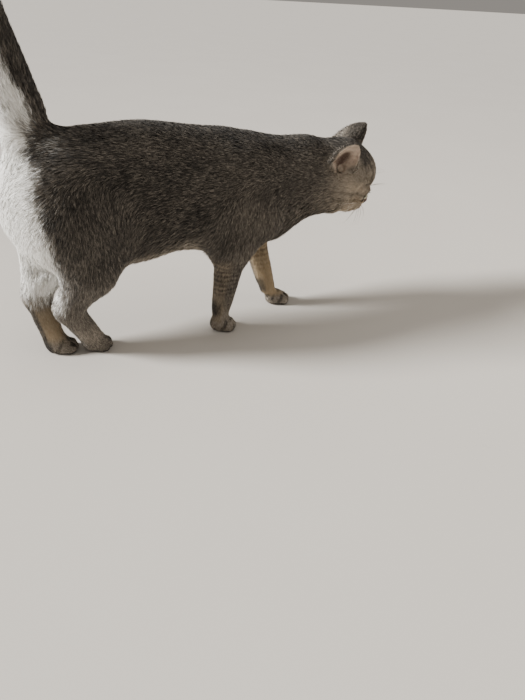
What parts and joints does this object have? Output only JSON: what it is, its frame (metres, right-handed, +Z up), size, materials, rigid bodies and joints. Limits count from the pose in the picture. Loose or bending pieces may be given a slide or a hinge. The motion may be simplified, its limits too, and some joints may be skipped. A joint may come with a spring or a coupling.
{
  "type": "cat",
  "caption": "Still life-size model of a stocky short-haired silver ticked cat in mid-step, tail raised and head lowered to its right.",
  "frame": {"origin": "middle of the bounding box, on the floor under the paws", "axes": "+Z up, the cat faces -Y, its left side is towards +X"},
  "size_m": [0.1582, 0.55, 0.5632],
  "materials": {
    "coat": "short dense fur, silver ground with dark ticking",
    "eye": "clear gloss over a green iris",
    "nose": "moist bare skin"
  },
  "bodies": {
    "root": {"head": "coat", "muzzle": "coat", "neck": "coat", "trunk": "coat", "tail": "coat", "fore_right_upper": "coat", "fore_right_lower": "coat", "fore_right_paw": "coat", "fore_left_upper": "coat", "fore_left_lower": "coat", "fore_left_paw": "coat", "hind_right_upper": "coat", "hind_right_lower": "coat", "hind_right_paw": "coat", "hind_left_upper": "coat", "hind_left_lower": "coat", "hind_left_paw": "coat", "ear_right": "coat", "ear_left": "coat", "eye_right": "eye", "eye_left": "eye", "nose": "nose"}
  },
  "joints": []
}
